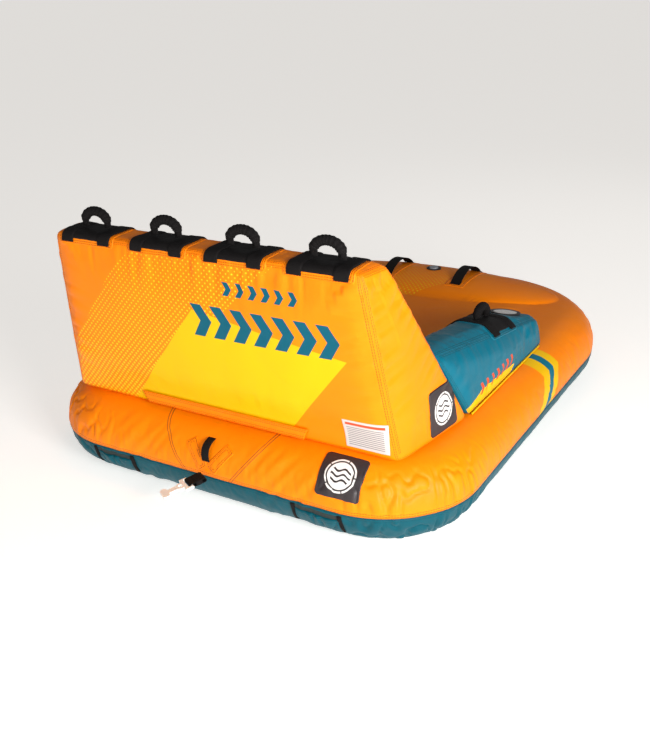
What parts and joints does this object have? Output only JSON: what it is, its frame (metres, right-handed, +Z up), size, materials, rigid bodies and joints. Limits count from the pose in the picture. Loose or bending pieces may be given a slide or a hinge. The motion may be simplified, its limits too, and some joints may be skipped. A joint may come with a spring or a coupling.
{
  "type": "towable tube",
  "caption": "Inflatable towable tube with a leaning backrest, sloping padded armrests, grips on top, a raised leg bolster, fabric covers over bladders and a quick tow hook.",
  "frame": {"origin": "on the ground, at the middle of the whole object's box seen from above", "axes": "+Z up, +X to the right seen from behind the tow end, -Y the tow end, +Y the far end"},
  "size_m": [1.6638, 2.2771, 1.012],
  "materials": {
    "orange_nylon": "coated nylon cover cloth, satin",
    "teal_nylon": "coated nylon cover cloth, satin",
    "bladder_film": "clear-white vinyl film",
    "padded_sleeve": "ribbed knit sleeve over foam",
    "black_foam": "closed-cell foam pad with cloth face",
    "black_webbing": "woven webbing",
    "drain_mesh": "open mesh",
    "label_film": "printed film label",
    "white_plastic": "moulded nylon",
    "grey_plastic": "moulded valve cap",
    "pale_plastic": "moulded valve cap",
    "black_plastic": "moulded zip slider"
  },
  "bodies": {
    "tube": {"back_1_pad": "black_foam", "back_1_straps": "black_webbing", "back_2_pad": "black_foam", "back_2_straps": "black_webbing", "back_3_pad": "black_foam", "back_3_straps": "black_webbing", "back_4_pad": "black_foam", "back_4_straps": "black_webbing", "backrest_bladder": "bladder_film", "backrest_cover": "orange_nylon", "base_bladder": "bladder_film", "bolster_bladder": "bladder_film", "bolster_cover": "orange_nylon", "care_label": "label_film", "deck_valve_ring": "black_foam", "floor_bladder": "bladder_film", "front_badge": "black_foam", "left_arm_pad": "black_foam", "left_arm_straps": "black_webbing", "left_armrest_bladder": "bladder_film", "left_armrest_cover": "teal_nylon", "left_badge": "black_foam", "left_drain_binding": "black_webbing", "left_drain_flap": "teal_nylon", "left_drain_mesh": "drain_mesh", "left_grab_patch": "orange_nylon", "left_grab_strap": "black_webbing", "left_valve_ring": "black_foam", "lower_cover": "teal_nylon", "pull_loop": "black_webbing", "right_arm_pad": "black_foam", "right_arm_straps": "black_webbing", "right_armrest_bladder": "bladder_film", "right_armrest_cover": "teal_nylon", "right_badge": "black_foam", "right_drain_binding": "black_webbing", "right_drain_flap": "teal_nylon", "right_drain_mesh": "drain_mesh", "right_grab_patch": "orange_nylon", "right_grab_strap": "black_webbing", "right_valve_ring": "black_foam", "tow_patch": "orange_nylon", "upper_cover": "orange_nylon", "zip_tape": "black_webbing"},
    "back_1_grip": {"back_1_grip": "padded_sleeve"},
    "back_2_grip": {"back_2_grip": "padded_sleeve"},
    "back_3_grip": {"back_3_grip": "padded_sleeve"},
    "back_4_grip": {"back_4_grip": "padded_sleeve"},
    "left_arm_grip": {"left_arm_grip": "padded_sleeve"},
    "left_valve_cap": {"left_valve_cap": "pale_plastic"},
    "right_arm_grip": {"right_arm_grip": "padded_sleeve"},
    "right_valve_cap": {"right_valve_cap": "pale_plastic"},
    "tow_loop": {"tow_loop": "black_webbing", "tow_sleeve": "padded_sleeve"},
    "quick_hook": {"quick_hook": "white_plastic"},
    "zip_slider": {"zip_slider": "black_plastic"},
    "zip_flap": {"zip_flap": "orange_nylon"},
    "deck_valve_cap": {"deck_valve_cap": "grey_plastic"}
  },
  "joints": [
    {"name": "back_1_grip_flop", "type": "hinge", "parent": "tube", "child": "back_1_grip", "pos_m": [-0.444, -0.88942, 0.9219], "axis": [1, 0, 0], "range_deg": [-50, 50], "stiffness_Nm_per_rad": 0.8},
    {"name": "back_2_grip_flop", "type": "hinge", "parent": "tube", "child": "back_2_grip", "pos_m": [-0.148, -0.88942, 0.9219], "axis": [1, 0, 0], "range_deg": [-50, 50], "stiffness_Nm_per_rad": 0.8},
    {"name": "back_3_grip_flop", "type": "hinge", "parent": "tube", "child": "back_3_grip", "pos_m": [0.148, -0.88942, 0.9219], "axis": [1, 0, 0], "range_deg": [-50, 50], "stiffness_Nm_per_rad": 0.8},
    {"name": "back_4_grip_flop", "type": "hinge", "parent": "tube", "child": "back_4_grip", "pos_m": [0.444, -0.88942, 0.9219], "axis": [1, 0, 0], "range_deg": [-50, 50], "stiffness_Nm_per_rad": 0.8},
    {"name": "right_arm_grip_flop", "type": "hinge", "parent": "tube", "child": "right_arm_grip", "pos_m": [0.5885, -0.04987, 0.47195], "axis": [0, 0.9847, -0.1743], "range_deg": [-50, 50], "stiffness_Nm_per_rad": 0.8},
    {"name": "right_valve_cap_lift", "type": "slide", "parent": "tube", "child": "right_valve_cap", "axis": [0, 0.1743, 0.9847], "range_m": [0, 0.025]},
    {"name": "left_arm_grip_flop", "type": "hinge", "parent": "tube", "child": "left_arm_grip", "pos_m": [-0.5885, -0.04987, 0.47195], "axis": [0, 0.9847, -0.1743], "range_deg": [-50, 50], "stiffness_Nm_per_rad": 0.8},
    {"name": "left_valve_cap_lift", "type": "slide", "parent": "tube", "child": "left_valve_cap", "axis": [0, 0.1743, 0.9847], "range_m": [0, 0.025]},
    {"name": "deck_valve_cap_lift", "type": "slide", "parent": "tube", "child": "deck_valve_cap", "axis": [0, 0, 1], "range_m": [0, 0.02]},
    {"name": "tow_loop_swing", "type": "hinge", "parent": "tube", "child": "tow_loop", "pos_m": [0, -1.00432, 0.144], "axis": [0.866, -0.5, 0], "range_deg": [-50, 45]},
    {"name": "quick_hook_swing", "type": "hinge", "parent": "tow_loop", "child": "quick_hook", "pos_m": [-0.02265, -1.04355, 0.13601], "axis": [0.866, -0.5, 0], "range_deg": [-65, 65]},
    {"name": "zip_slider_travel", "type": "slide", "parent": "tube", "child": "zip_slider", "axis": [1, 0, 0], "range_m": [0, 0.59]},
    {"name": "zip_flap_lift", "type": "hinge", "parent": "tube", "child": "zip_flap", "pos_m": [0.006, -0.88136, 0.34454], "axis": [-1, 0, 0], "range_deg": [0, 140]}
  ]
}
